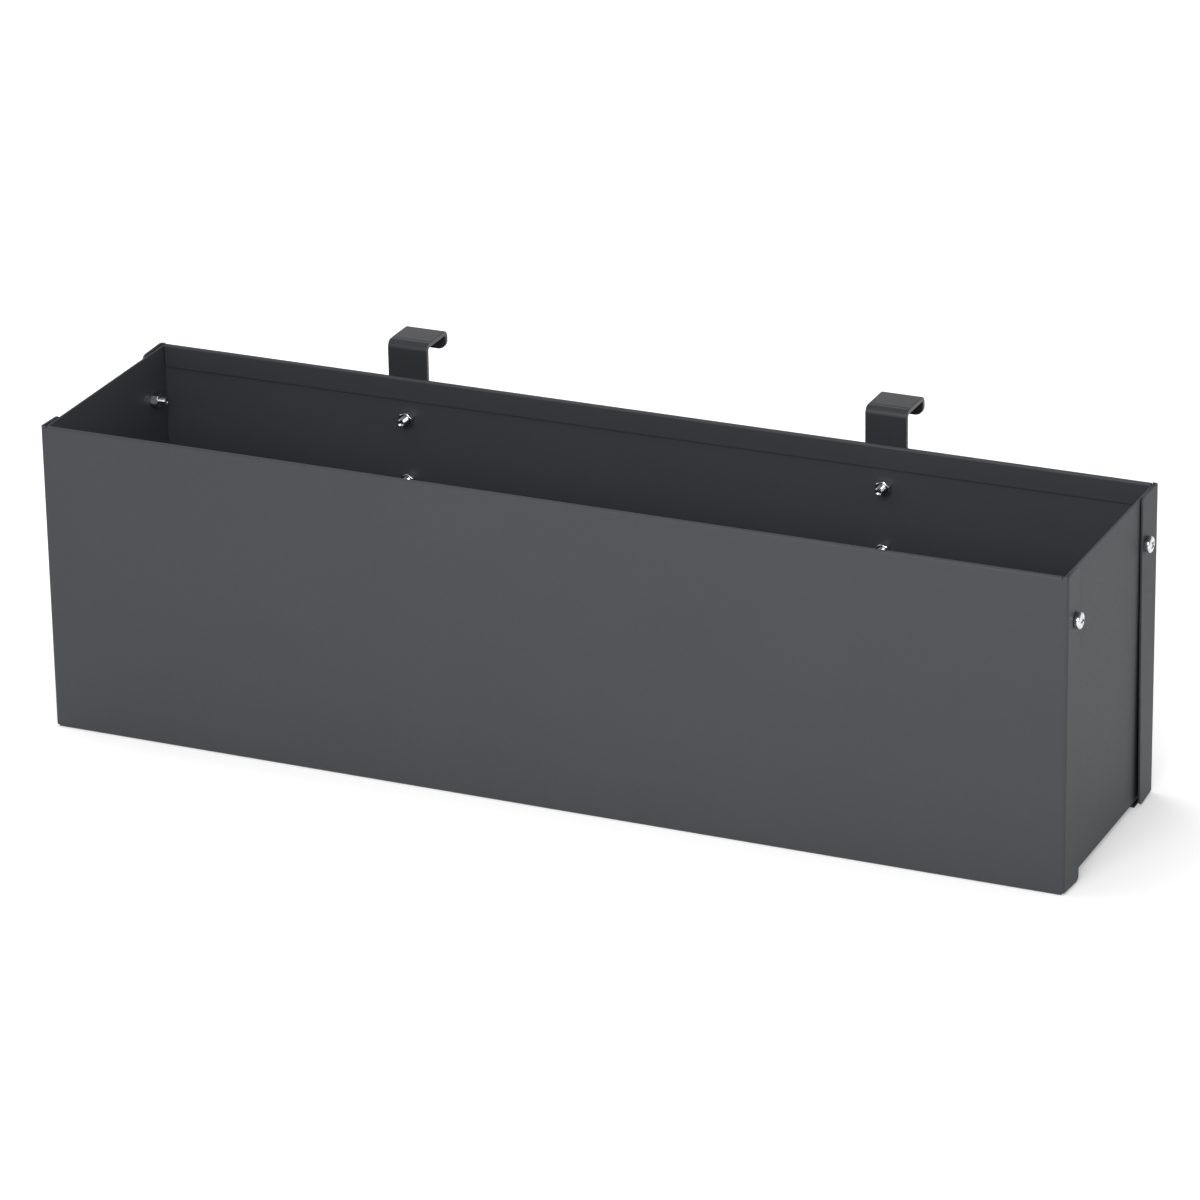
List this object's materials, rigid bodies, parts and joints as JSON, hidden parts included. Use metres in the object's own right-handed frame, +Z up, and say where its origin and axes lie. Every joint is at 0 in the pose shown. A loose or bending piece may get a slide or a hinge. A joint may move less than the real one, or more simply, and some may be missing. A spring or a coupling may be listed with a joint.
{
  "type": "window box planter",
  "caption": "Long rectangular window box of folded powder coated sheet steel, bolted at its corners, with flat bar hooks that hang it over a balcony rail.",
  "frame": {"origin": "middle of the overall footprint, hooks and screw heads included, on the surface that the trough stands on", "axes": "+X along the trough, +Y from its front face to the rail behind it, +Z up"},
  "size_m": [0.6272, 0.1774, 0.2082],
  "materials": {
    "powder_coat": "satin anthracite powder coat with a fine texture",
    "zinc": "bright zinc plating"
  },
  "bodies": {
    "root": {"front_panel": "powder_coat", "back_panel": "powder_coat", "left_end_panel": "powder_coat", "right_end_panel": "powder_coat", "bottom_panel": "powder_coat", "left_hanger": "powder_coat", "right_hanger": "powder_coat", "front_left_corner_screw": "zinc", "front_left_corner_nut": "zinc", "back_left_corner_screw": "zinc", "back_left_corner_nut": "zinc", "front_right_corner_screw": "zinc", "front_right_corner_nut": "zinc", "back_right_corner_screw": "zinc", "back_right_corner_nut": "zinc", "left_hanger_upper_screw": "zinc", "left_hanger_upper_nut": "zinc", "left_hanger_lower_screw": "zinc", "left_hanger_lower_nut": "zinc", "right_hanger_upper_screw": "zinc", "right_hanger_upper_nut": "zinc", "right_hanger_lower_screw": "zinc", "right_hanger_lower_nut": "zinc"}
  },
  "joints": []
}
